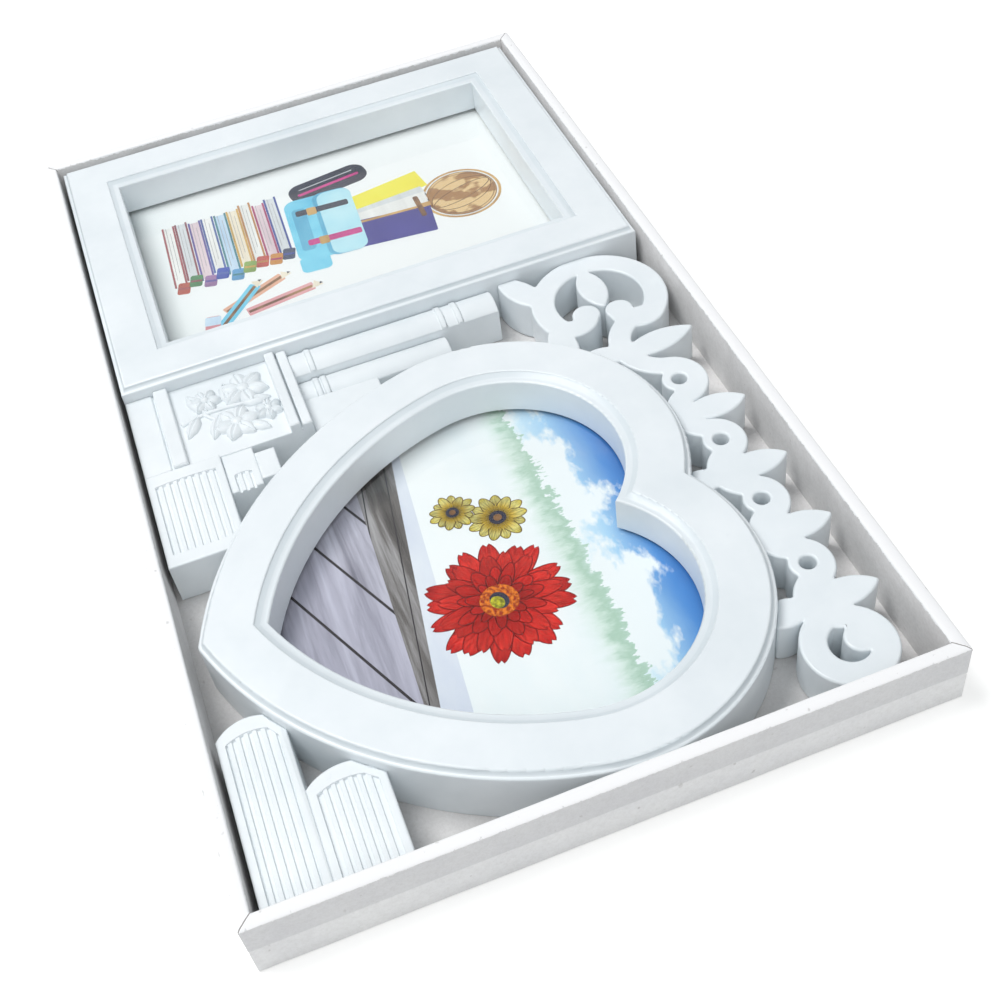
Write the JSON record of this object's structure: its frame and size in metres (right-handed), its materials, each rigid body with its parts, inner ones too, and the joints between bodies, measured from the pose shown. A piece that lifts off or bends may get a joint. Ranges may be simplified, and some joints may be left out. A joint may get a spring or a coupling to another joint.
{
  "type": "collage photo frame",
  "caption": "White moulded wall frame with a rectangular and a heart-shaped window joined by book, flower and scroll reliefs, in its open card tray.",
  "frame": {"origin": "middle of the card tray's underside", "axes": "+X along the frame from the rectangle to the heart, +Y up on the wall, +Z out of the show face"},
  "size_m": [0.3328, 0.1886, 0.0213],
  "materials": {
    "white_plastic": "cool white, satin",
    "white_card": "white-faced corrugated card, matt",
    "pane": "clear",
    "rect_insert": "printed paper",
    "heart_insert": "printed paper",
    "backing_board": "brown hardboard",
    "turn_button_steel": "zinc plated",
    "screw_steel": "zinc plated",
    "hanger_steel": "zinc plated"
  },
  "bodies": {
    "tray": {"card_tray": "white_card"},
    "frame": {"rect_frame": "white_plastic", "heart_frame": "white_plastic", "scroll_border": "white_plastic", "tall_book": "white_plastic", "short_book": "white_plastic", "thin_book": "white_plastic", "flower_box": "white_plastic", "flower_spray": "white_plastic", "small_book_upper": "white_plastic", "small_book_lower": "white_plastic", "lying_book_left": "white_plastic", "lying_book_upper": "white_plastic", "lying_book_lower": "white_plastic", "rect_pane": "pane", "rect_print": "rect_insert", "rect_backing": "backing_board", "heart_pane": "pane", "heart_print": "heart_insert", "heart_backing": "backing_board", "rect_button_left_screw": "screw_steel", "rect_button_right_screw": "screw_steel", "rect_button_top_screw": "screw_steel", "rect_button_bottom_screw": "screw_steel", "heart_button_left_screw": "screw_steel", "heart_button_right_screw": "screw_steel", "heart_button_lower_left_screw": "screw_steel", "heart_button_lower_right_screw": "screw_steel", "hanger_left_screw_a": "screw_steel", "hanger_left_screw_b": "screw_steel", "hanger_right_screw_a": "screw_steel", "hanger_right_screw_b": "screw_steel", "hanger_left": "hanger_steel", "hanger_right": "hanger_steel"},
    "rect_button_left": {"rect_button_left": "turn_button_steel"},
    "rect_button_right": {"rect_button_right": "turn_button_steel"},
    "rect_button_top": {"rect_button_top": "turn_button_steel"},
    "rect_button_bottom": {"rect_button_bottom": "turn_button_steel"},
    "heart_button_left": {"heart_button_left": "turn_button_steel"},
    "heart_button_right": {"heart_button_right": "turn_button_steel"},
    "heart_button_lower_left": {"heart_button_lower_left": "turn_button_steel"},
    "heart_button_lower_right": {"heart_button_lower_right": "turn_button_steel"}
  },
  "joints": [
    {"name": "frame_lift", "type": "slide", "parent": "tray", "child": "frame", "axis": [0, 0, 1], "range_m": [0, 0.06]},
    {"name": "rect_button_left_turn", "type": "hinge", "parent": "frame", "child": "rect_button_left", "pos_m": [-0.149, 0, 0.0036], "axis": [0, 0, 1], "range_deg": [0, 90]},
    {"name": "rect_button_right_turn", "type": "hinge", "parent": "frame", "child": "rect_button_right", "pos_m": [-0.0378, 0, 0.0036], "axis": [0, 0, 1], "range_deg": [0, 90]},
    {"name": "rect_button_top_turn", "type": "hinge", "parent": "frame", "child": "rect_button_top", "pos_m": [-0.0934, 0.081, 0.0036], "axis": [0, 0, 1], "range_deg": [0, 90]},
    {"name": "rect_button_bottom_turn", "type": "hinge", "parent": "frame", "child": "rect_button_bottom", "pos_m": [-0.0934, -0.081, 0.0036], "axis": [0, 0, 1], "range_deg": [0, 90]},
    {"name": "heart_button_left_turn", "type": "hinge", "parent": "frame", "child": "heart_button_left", "pos_m": [0.0136, 0.0192, 0.0036], "axis": [0, 0, 1], "range_deg": [0, 90]},
    {"name": "heart_button_right_turn", "type": "hinge", "parent": "frame", "child": "heart_button_right", "pos_m": [0.1501, 0.0192, 0.0036], "axis": [0, 0, 1], "range_deg": [0, 90]},
    {"name": "heart_button_lower_left_turn", "type": "hinge", "parent": "frame", "child": "heart_button_lower_left", "pos_m": [0.04576, -0.05342, 0.0036], "axis": [0, 0, 1], "range_deg": [0, 90]},
    {"name": "heart_button_lower_right_turn", "type": "hinge", "parent": "frame", "child": "heart_button_lower_right", "pos_m": [0.11794, -0.05342, 0.0036], "axis": [0, 0, 1], "range_deg": [0, 90]}
  ]
}
